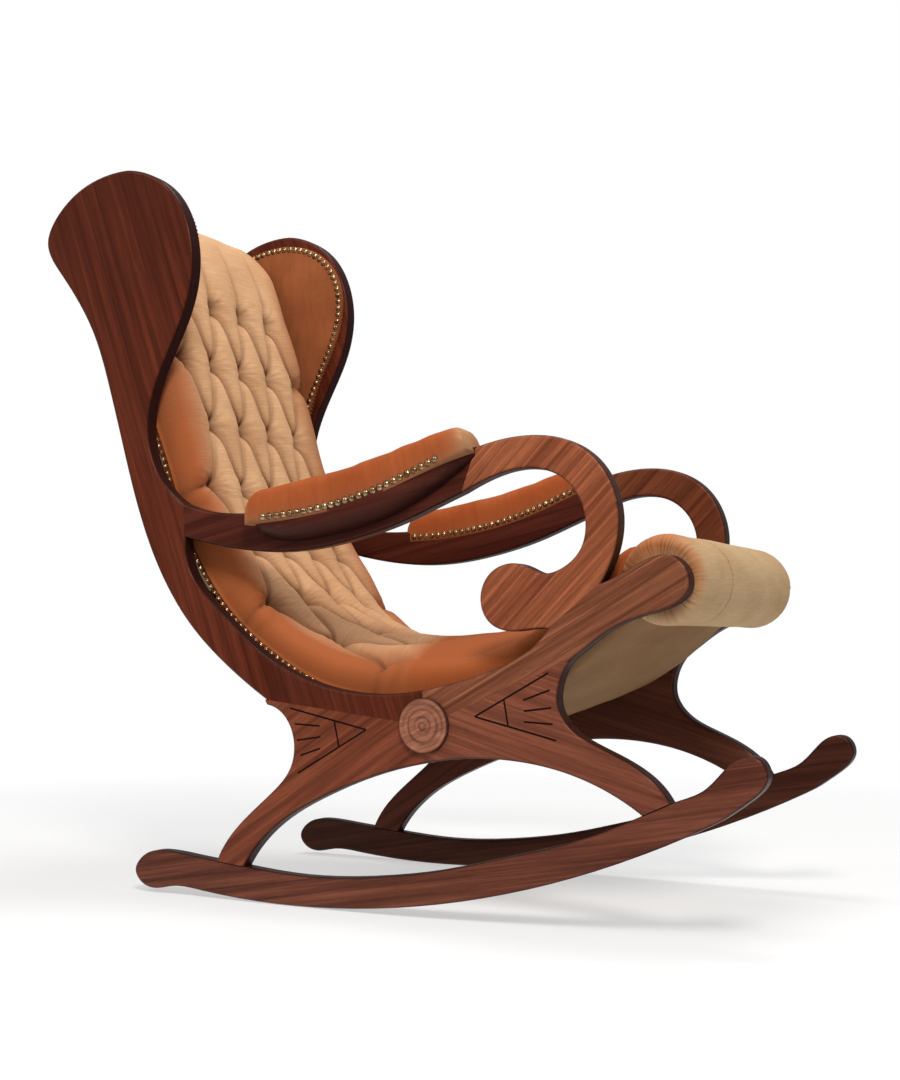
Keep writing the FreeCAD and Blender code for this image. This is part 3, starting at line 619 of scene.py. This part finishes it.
def make_squab():
    """One crowned, deep-buttoned cushion from the head to the roll, closed at the back."""
    rows = 800
    turn = np.linspace(0, math.pi / 2, 27)[1:]
    side_y = CROWN_FLAT + (SQUAB_WALL - CROWN_FLAT) * np.sin(turn) ** 0.66
    flat_y = np.linspace(0, CROWN_FLAT, 88)
    half_y = np.concatenate([flat_y, side_y, np.linspace(SQUAB_WALL, SQUAB_SIDE, 6)[1:]])
    half_rise = np.concatenate([np.ones(len(flat_y)), np.clip(np.cos(turn), 0, 1) ** 0.66, np.zeros(5)])
    y = np.concatenate([-half_y[:0:-1], half_y])[None, :]
    rise = np.concatenate([half_rise[:0:-1], half_rise])[None, :]
    cols = y.shape[1]
    f = np.linspace(0, 1, rows)[:, None]
    s = f * CROWN.length + 0 * y
    yy = y + 0 * f
    crown = CROWN.at(s)
    front = CROWN.front(s)
    opposite = SLING.facing(CROWN, s[:, 0])[:, None] + 0 * y
    border = SLING.at(opposite) + SLING.front(opposite) * BORDER_LIFT
    depth, painted_shade = squab_relief(s, yy)
    relief = smoothed_noise(s.shape, (26, 9), 3) * 1.6 * MM + small_wrinkles(s, yy)
    head = 10 * MM * (1 - np.sqrt(np.clip(1 - np.clip(1 - s / (26 * MM), 0, 1) ** 2, 0, 1)))
    to_end = CROWN.length - s
    nose = np.clip(to_end / 0.40, 0, 1)
    dip = 7 * MM * np.exp(-(((to_end - 0.27) / 0.11) ** 2))
    rear = np.clip(1 - to_end / 0.10, 0, 1)
    up_to_roll = 24 * MM * rear**2 * (3 - 2 * rear)
    topped = 0.3 + 0.7 * np.clip(s / 0.10, 0, 1)
    swell = PILLOW_SWELL * np.sqrt(np.clip(1 - (yy / (SQUAB_WALL + 4 * MM)) ** 4, 0, 1)) * nose * topped
    level_again = np.clip((to_end - 0.02) / 0.24, 0, 1)
    fall = seat_fall(s, yy) * level_again**2 * (3 - 2 * level_again)
    inward = depth - relief - swell - bend_swell(s) + fall + head + dip - up_to_roll
    surface = crown - front * inward[..., None]
    fullness = smoothed_noise(s.shape, (30, 4), 11) * 0.04 * (rise < 1)
    place = border + (surface - border) * np.clip(rise * (1 + fullness), 0, 1)[..., None]
    roll = np.array([ROLL_CENTRE.x, ROLL_CENTRE.z])
    away = place - roll
    reach = np.linalg.norm(away, axis=-1, keepdims=True)
    place = roll + away * np.maximum(1, (ROLL_RADIUS + ROLL_GAP) / reach)
    out = np.stack([place[..., 0], yy, place[..., 1]], -1).reshape(-1, 3)
    faces = grid_faces(rows, cols, flip=True)
    # the back lies flat across the sling, so one strip per row closes it
    for i in range(rows - 1):
        row, following = i * cols, (i + 1) * cols
        faces.append((row, row + cols - 1, following + cols - 1, following))
    faces.append(tuple(reversed(range(cols))))
    faces.append(tuple(range((rows - 1) * cols, rows * cols)))
    uv = np.stack([yy, s], -1).reshape(-1, 2)
    # partly pile laid the other way, partly painted sheen: on the side walls, ahead of the last row of
    # buttons, and growing towards the seat
    turning = 0.128 - 0.03 * np.clip((s - 0.65) / 0.3, 0, 1)
    side = np.clip((np.abs(yy) - turning) / 0.06, 0, 1) * np.clip(0.48 + s / 0.85, 0, 1)
    ahead = np.clip((s - TUFT_START - TUFT_STEP * (TUFT_ROWS - 1) + 0.01) / 0.06, 0, 1)
    low = np.clip((s - 0.45) / 0.6, 0, 1) * 0.22
    nap_and_sheen = np.clip(np.maximum(np.maximum(side * 0.96, ahead), low), 0, 1)
    obj = make_object("squab_cushion", out, faces, TAN, uv, painted_shade.ravel(), nap_and_sheen.ravel())
    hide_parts("buttoned_squab")
    return obj


def make_buttons():
    """Domed buttons covered in the same velvet, one at the bottom of each pit."""
    rings, count = 9, 28
    verts, faces = [], []
    for row in tuft_places():
        for s0, y0 in row:
            place, front = CROWN.at(np.array(s0)), CROWN.front(np.array(s0))
            across = np.array([front[1], -front[0]])
            floor = PILLOW_SWELL + bend_swell(s0) - seat_fall(s0, y0) - PILLOW_DEPTH - PIT_DEPTH
            start = len(verts)
            for i in range(rings):
                turn = math.pi / 2 * i / (rings - 1)
                radius = BUTTON_RADIUS * math.sin(turn) ** 0.9
                lift = floor + BUTTON_HEIGHT * (math.cos(turn) - 0.1) + 1.5 * MM
                for j in range(count):
                    angle = 2 * math.pi * j / count
                    x, z = place + front * lift + across * radius * math.cos(angle)
                    verts.append((x, y0 + radius * math.sin(angle), z))
            faces += grid_faces(rings, count, wrap=True, offset=start)
            faces.append(tuple(start + (rings - 1) * count + j for j in range(count)))
    obj = make_object("squab_button_covers", verts, faces, TAN, np.array(verts)[:, 1:])
    modifier = obj.modifiers.new("weld", "WELD")
    modifier.merge_threshold = 0.01 * MM
    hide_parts("squab_buttons")
    return obj


# --- the front roll ---------------------------------------------------------------------------
ROLL_SEAM = -0.090                                # y of the sewn seam
ROLL_SHOULDER = 24 * MM                           # length over which the ends round off
SHOULDER_DROP = 15 * MM


def make_roll():
    """Bolster with gathered ends tucked in behind the rails and one sewn seam."""
    rows, cols = 170, 220
    half = INNER - 0.6 * MM
    v = np.linspace(-1, 1, rows)[:, None]
    y = np.sign(v) * (1 - (1 - np.abs(v)) ** 1.6) * half
    angle = np.linspace(0, 2 * math.pi, cols, endpoint=False)[None, :]
    inset = half - np.abs(y)
    u = np.clip(1 - inset / ROLL_SHOULDER, 0, 1)
    radius = ROLL_RADIUS - SHOULDER_DROP * (1 - np.sqrt(np.clip(1 - u**2, 0, 1)))
    reach = 9 + 6 * smoothed_noise((1, cols), (1, 61), 15)
    uneven = 0.35 + 0.65 * np.clip(smoothed_noise((1, cols), (1, 29), 16) + 0.5, 0, 1)
    gather = np.exp(-inset / (reach * MM)) * uneven
    phase = smoothed_noise((rows, cols), (3, 23), 5) * 3.4
    pleat = np.abs(np.sin(27 * angle + phase)) ** 0.6
    sag = smoothed_noise((rows, cols), (7, 9), 8) * 1.1 * MM
    seam = np.exp(-((np.abs(y - ROLL_SEAM - 2 * MM * np.sin(angle)) / (1.6 * MM)) ** 2))
    pucker = np.exp(-(np.abs(y - ROLL_SEAM) / (11 * MM))) * np.sin(34 * angle + phase) * 0.35 * MM
    radius = radius - gather * (1 - pleat) * 2.6 * MM + sag - seam * 1.5 * MM + pucker
    x = ROLL_CENTRE.x + radius * np.cos(angle)
    z = ROLL_CENTRE.z + radius * np.sin(angle)
    verts = np.stack([x, y + 0 * x, z], -1).reshape(-1, 3)
    faces = grid_faces(rows, cols, wrap=True)
    for end, ring in ((-half, 0), (half, rows - 1)):
        centre = len(verts)
        verts = np.vstack([verts, [[ROLL_CENTRE.x, end, ROLL_CENTRE.z]]])
        loop = [ring * cols + j for j in range(cols)]
        for j in range(cols):
            pair = (loop[j], loop[(j + 1) % cols])
            faces.append((pair[1], pair[0], centre) if ring == 0 else (pair[0], pair[1], centre))
    patchy = 0.75 + 0.25 * smoothed_noise((rows, cols), (6, 37), 33)
    # painted shade near the ends where they tuck in behind the rails, in the gathers and along the seam
    end_shade = 0.5 * np.exp(-inset / (7 * MM)) * patchy
    painted_shade = np.clip(gather * (1 - pleat) * 0.9 + seam * 0.8 + end_shade, 0, 1)
    uv = np.stack([y + 0 * angle, angle * ROLL_RADIUS + 0 * y], -1).reshape(-1, 2)
    extra = len(verts) - rows * cols
    # partly pile laid the other way, partly painted sheen: over the rear top and in a band near each end
    rear_top = np.clip(np.cos(angle - math.radians(135)) * 1.7, 0, 1) * np.clip(1.7 - inset / 0.045, 0, 1)
    halo = np.exp(-((inset / (11 * MM)) ** 2)) * patchy * np.clip(0.75 + np.sin(angle), 0.3, 1)
    rear_top = np.maximum(rear_top, 0.9 * halo)
    obj = make_object("front_bolster", verts, faces, KHAKI, np.vstack([uv, np.zeros((extra, 2))]),
                      np.concatenate([painted_shade.ravel(), np.zeros(extra)]),
                      np.concatenate([rear_top.ravel(), np.zeros(extra)]))
    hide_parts("front_roll")
    return obj


# --- arm pads and wing linings ----------------------------------------------------------------
PAD_BEHIND = 6 * MM                               # how far the pad reaches past its seat behind
PAD_AHEAD = 2 * MM                                # and in front
PAD_SLOPE = 0.33                                  # rise per length of the two short ends
PAD_TUCK = 2.2 * MM
PAD_HEIGHTS = ((-165, 38), (-138, 43), (-85, 47), (-18, 48), (47, 46), (110, 41), (158, 36), (180, 33))
HEIGHT_WINDOW = 27                                # rows over which the heights are averaged
WING_HUB = np.array([-0.402, 0.960])              # (x, z) about the middle of a wing


def make_arm_pad(side):
    """Crowned pad over the arm: pulled in at the nail line, rounded behind, corners folded in front."""
    sign = 1 if side == "left" else -1
    rows, cols = 130, 60
    low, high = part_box(f"arm_pad_{side}")
    inner, outer = INNER - 0.5 * MM, max(abs(low.y), abs(high.y))
    middle, half = (inner + outer) / 2, (outer - inner) / 2
    f = np.linspace(0, 1, rows)[:, None]
    s = f * (PAD_SEAT.length + PAD_BEHIND + PAD_AHEAD) - PAD_BEHIND
    over = np.clip(s - PAD_SEAT.length, 0, 1) - np.clip(-s, 0, 1)
    base = PAD_SEAT.at(s) + np.stack([over, over * PAD_SLOPE], -1)
    front = PAD_SEAT.front(np.clip(s, 0, PAD_SEAT.length), 45 * MM)
    theta = np.linspace(0, math.pi, cols)[None, :]
    from_back, to_front = s + PAD_BEHIND, PAD_SEAT.length + PAD_AHEAD - s
    along, tall = np.array(PAD_HEIGHTS).T * MM
    stepped = np.interp(base[:, 0, 0], along, tall)
    average = np.ones(HEIGHT_WINDOW) / HEIGHT_WINDOW
    height = np.convolve(np.pad(stepped, HEIGHT_WINDOW // 2, "edge"), average, "valid")[:, None]
    height = height * (1 - 0.34 * np.exp(-from_back / (7 * MM)))
    height = height * (1 - 0.30 * np.exp(-to_front / (5 * MM)))
    width = half * (1 - 0.05 * np.exp(-from_back / (6 * MM)) - 0.06 * np.exp(-to_front / (5 * MM)))
    across = np.sign(np.cos(theta)) * np.abs(np.cos(theta)) ** 0.55
    rise = np.abs(np.sin(theta)) ** 0.6
    soft = smoothed_noise((rows, cols), (16, 5), 21 + sign) * 1.1 * MM * rise
    tuck = np.exp(-to_front / (11 * MM)) * np.abs(np.sin(6 * theta + 0.4)) ** 0.6 * PAD_TUCK
    belly = 1 + 0.04 * np.clip(rise - 0.45, 0, 1)
    y = sign * (middle + across * width * belly)
    lift = rise * height + soft - tuck * rise - 9 * MM * (1 - rise)
    x = base[:, :, 0] + front[:, :, 0] * lift
    z = base[:, :, 1] + front[:, :, 1] * lift
    verts = np.stack([x, y, z], -1).reshape(-1, 3)
    faces = grid_faces(rows, cols, flip=sign > 0)
    for i in range(rows - 1):
        row, following = i * cols, (i + 1) * cols
        faces.append((row, following, following + cols - 1, row + cols - 1)[::-sign])
    faces.append(tuple(range(cols))[::sign])
    faces.append(tuple(range((rows - 1) * cols, rows * cols))[::-sign])
    # painted shade at the front end, along the nail line and in the tucks
    painted_shade = np.exp(-to_front / (5 * MM)) * 0.1 + (1 - rise) ** 3 * 0.5 + tuck / PAD_TUCK * 0.4
    uv = np.stack([s + 0 * theta, theta * 0.04 + 0 * f], -1).reshape(-1, 2)
    # partly pile laid the other way, partly painted sheen: at both ends and along the nail line
    ends = 0.95 * np.exp(-to_front / (9 * MM)) + 0.5 * np.exp(-from_back / (2.5 * MM))
    nap_and_sheen = ends + 0.45 * (1 - rise) ** 6
    obj = make_object(f"arm_pad_cover_{side}", verts, faces, ORANGE, uv,
                      np.clip(painted_shade, 0, 1).ravel(), np.clip(nap_and_sheen, 0, 1).ravel())
    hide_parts(f"arm_pad_{side}")
    return obj


def make_wing_lining(side):
    """Thinly padded velvet panel inside the wing, drawn down along its nailed edge."""
    sign = 1 if side == "left" else -1
    rim = WING_RIM.at(np.linspace(0, WING_RIM.length, 150))
    back = WING_BACK.at(np.linspace(0, WING_BACK.length, 90))[1:-1]
    outline = WING_HUB + (np.vstack([rim, back]) - WING_HUB) * 0.985
    rings, count = 34, len(outline)
    r = np.linspace(0, 1, rings + 1)[1:, None]
    points = WING_HUB + (outline - WING_HUB)[None] * r[..., None]
    edge = np.linalg.norm(points[:, :, None] - outline[None, None, ::2], axis=-1).min(axis=2)
    drawn_down = 1 - np.clip(1 - edge / (4 * MM), 0, 1) ** 2
    puff = LINING * 0.93 * drawn_down + 4.2 * MM * (1 - np.exp(-edge / (34 * MM)))
    slack = np.sin(points[..., 0] * 61 + 1.3 * np.sin(points[..., 1] * 37)) + np.sin(points[..., 1] * 49 + 2)
    wave = slack * 0.35 * MM * np.clip(edge / 0.03, 0, 1)
    y = sign * (INNER - puff - wave)
    verts = np.stack([points[..., 0], y, points[..., 1]], -1).reshape(-1, 3)
    hub = len(verts)
    verts = np.vstack([verts, [[WING_HUB[0], float(y[0].mean()), WING_HUB[1]]]])
    skirt = len(verts)
    foot = np.stack([outline[:, 0], np.full(count, sign * (INNER - 0.2 * MM)), outline[:, 1]], -1)
    verts = np.vstack([verts, foot])
    faces = grid_faces(rings, count, wrap=True, flip=sign < 0)
    for j in range(count):
        k = (j + 1) % count
        last = (rings - 1) * count
        faces.append((hub, k, j)[::-sign])
        faces.append((last + j, last + k, skirt + k, skirt + j)[::sign])
    faces.append(tuple(range(skirt, skirt + count))[::sign])
    # painted shade along the nailed edge and on the skirt that meets the wood
    painted_shade = np.concatenate([np.exp(-edge / (5 * MM)).ravel() * 0.6, [0], np.full(count, 0.6)])
    uv = verts[:, [0, 2]]
    obj = make_object(f"wing_lining_cover_{side}", verts, faces, LINING_CLOTH, uv, painted_shade)
    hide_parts(f"wing_lining_{side}")
    return obj


# --- covers at the back and underneath ----------------------------------------------------------
COVER_START = 14 * MM
COVER_SPLIT = 0.66                                # share of the line that the back cover takes
COVER_THICKNESS = 1.6 * MM
EDGE_TUCK = 15 * MM                               # how far the edges turn up behind the panels
ROLL_TUCK = 9 * MM                                # how far the front end runs up behind the roll
TUCK_FADE = 0.05                                  # length over which one tuck gives way to the other

def make_cover(name, node, s_low, s_high, sag, seed):
    """Stretched cloth between the panels along the outer path, with slack ripples at its edges."""
    length = s_high - s_low
    rows, cols = int(length / (5 * MM)), 90
    f = np.linspace(0, 1, rows)[:, None]
    side = INNER - 0.6 * MM
    y = np.linspace(-side, side, cols)[None, :]
    s = s_low + f * length + 0 * y
    place, front = OUTER_COVER.at(s), OUTER_COVER.front(s)
    edge = side - np.abs(y)
    ripple = np.sin(s / (9 * MM) + 2 * np.sin(s / 0.05)) * np.exp(-edge / (12 * MM)) * 0.8 * MM
    drop = sag * np.sin(math.pi * f) ** 0.7 * (1 - (y / side) ** 2)
    to_end = (OUTER_COVER.length - s) / TUCK_FADE
    tucked = EDGE_TUCK * np.clip(1 - edge / EDGE_TUCK, 0, 1) ** 2 * np.clip(to_end, 0, 1)
    into_roll = ROLL_TUCK * np.clip(1 - to_end, 0, 1)
    relief = smoothed_noise((rows, cols), (12, 5), seed) * 0.9 * MM + ripple - drop + tucked + into_roll
    layers = []
    for thick in (0.0, -COVER_THICKNESS):
        point = place + front * (relief + thick)[..., None]
        layers.append(np.stack([point[..., 0], y + 0 * f, point[..., 1]], -1).reshape(-1, 3))
    faces = grid_faces(rows, cols, flip=True) + grid_faces(rows, cols, offset=rows * cols)
    top = np.arange(rows * cols).reshape(rows, cols)
    bottom = top + rows * cols
    for a, b in ((top[:, 0], bottom[:, 0]), (top[::-1, -1], bottom[::-1, -1]),
                 (top[0, ::-1], bottom[0, ::-1]), (top[-1], bottom[-1])):
        faces += [(int(a[i]), int(a[i + 1]), int(b[i + 1]), int(b[i])) for i in range(len(a) - 1)]
    uv = np.stack([y + 0 * f, s], -1).reshape(-1, 2)
    # painted shade along the edges, in the shadow of the side panels
    painted_shade = np.exp(-edge / (7 * MM)) * 0.7 + 0 * f
    obj = make_object(name, np.vstack(layers), faces, COVER, np.vstack([uv, uv]),
                      np.concatenate([painted_shade.ravel()] * 2))
    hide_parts(node)
    return obj


# --- studio -----------------------------------------------------------------------------------
CAMERA_PLACE = (1.0976, -2.0272, 0.3764)
CAMERA_TURN = 27.92                               # degrees about the upright axis
CAMERA_PITCH = -3.72                              # degrees; negative looks up
CAMERA_LENS = 50.2
LIT_MIDDLE = (0.0, 0.0, 0.55)
FLOOR_RADIUS = 2.1
WORLD_SEEN = 1.0                                  # the backdrop's strength as the camera sees it
WORLD_LIGHT = 0.36                                # and as it lights the chair


def make_camera():
    """Camera at the sitter's right front, a little below seat height."""
    data = bpy.data.cameras.new("camera")
    data.sensor_width = 36.0
    data.lens = CAMERA_LENS
    camera = bpy.data.objects.new("camera", data)
    camera.location = CAMERA_PLACE
    azimuth, elevation = math.radians(CAMERA_TURN), math.radians(CAMERA_PITCH)
    camera.rotation_euler = (math.pi / 2 - elevation, 0, azimuth)
    bpy.context.scene.collection.objects.link(camera)
    bpy.context.scene.camera = camera


def area_light(name, place, size, power, colour=(1, 1, 1)):
    """A round soft light that faces the middle of the chair."""
    data = bpy.data.lights.new(name, "AREA")
    data.shape = "DISK"
    data.size = size
    data.energy = power
    data.color = colour
    light = bpy.data.objects.new(name, data)
    light.location = place
    way = np.array(LIT_MIDDLE) - np.array(place, float)
    tilt = math.atan2(math.hypot(way[0], way[1]), -way[2])
    light.rotation_euler = (tilt, 0, math.atan2(way[1], way[0]) - math.pi / 2)
    bpy.context.scene.collection.objects.link(light)


def make_studio():
    """A pale floor disc, a white backdrop and three soft lights."""
    count = 96
    ring = []
    for i in range(count):
        angle = 2 * math.pi * i / count
        ring.append((FLOOR_RADIUS * math.cos(angle), FLOOR_RADIUS * math.sin(angle), -0.5 * MM))
    floor = make_object("studio_floor", ring, [tuple(range(count))], floor_material())
    world = bpy.data.worlds.new("studio")
    world.use_nodes = True
    background = world.node_tree.nodes["Background"]
    background.inputs["Color"].default_value = (1, 1, 1, 1)
    path = world.node_tree.nodes.new("ShaderNodeLightPath")
    strength = world.node_tree.nodes.new("ShaderNodeMapRange")
    strength.inputs["To Min"].default_value = WORLD_LIGHT
    strength.inputs["To Max"].default_value = WORLD_SEEN
    world.node_tree.links.new(path.outputs["Is Camera Ray"], strength.inputs["Value"])
    world.node_tree.links.new(strength.outputs["Result"], background.inputs["Strength"])
    bpy.context.scene.world = world
    area_light("key", (1.6, -2.2, 2.8), 1.0, 84, (1.0, 0.97, 0.93))
    area_light("fill", (-1.6, -2.4, 3.2), 1.4, 22)
    area_light("top", (0.0, 0.5, 3.2), 1.2, 38)
    bpy.context.scene.view_settings.view_transform = "Standard"


# --- assembly ---------------------------------------------------------------------------------
def main():
    make_camera()
    finish_cad_nodes()
    soft = [make_squab(), make_roll()]
    for side in ("right", "left"):
        soft += [make_arm_pad(side), make_wing_lining(side)]
    soft.append(make_buttons())
    end = OUTER_COVER.length
    split = end * COVER_SPLIT
    soft.append(make_cover("outer_back_cloth", "outer_back_cover", COVER_START, split, 0.0, 41))
    soft.append(make_cover("underside_cloth", "underside_cover", split + 1 * MM, end, 5 * MM, 42))
    for piece in soft:
        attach(piece, "root")
    make_studio()


main()
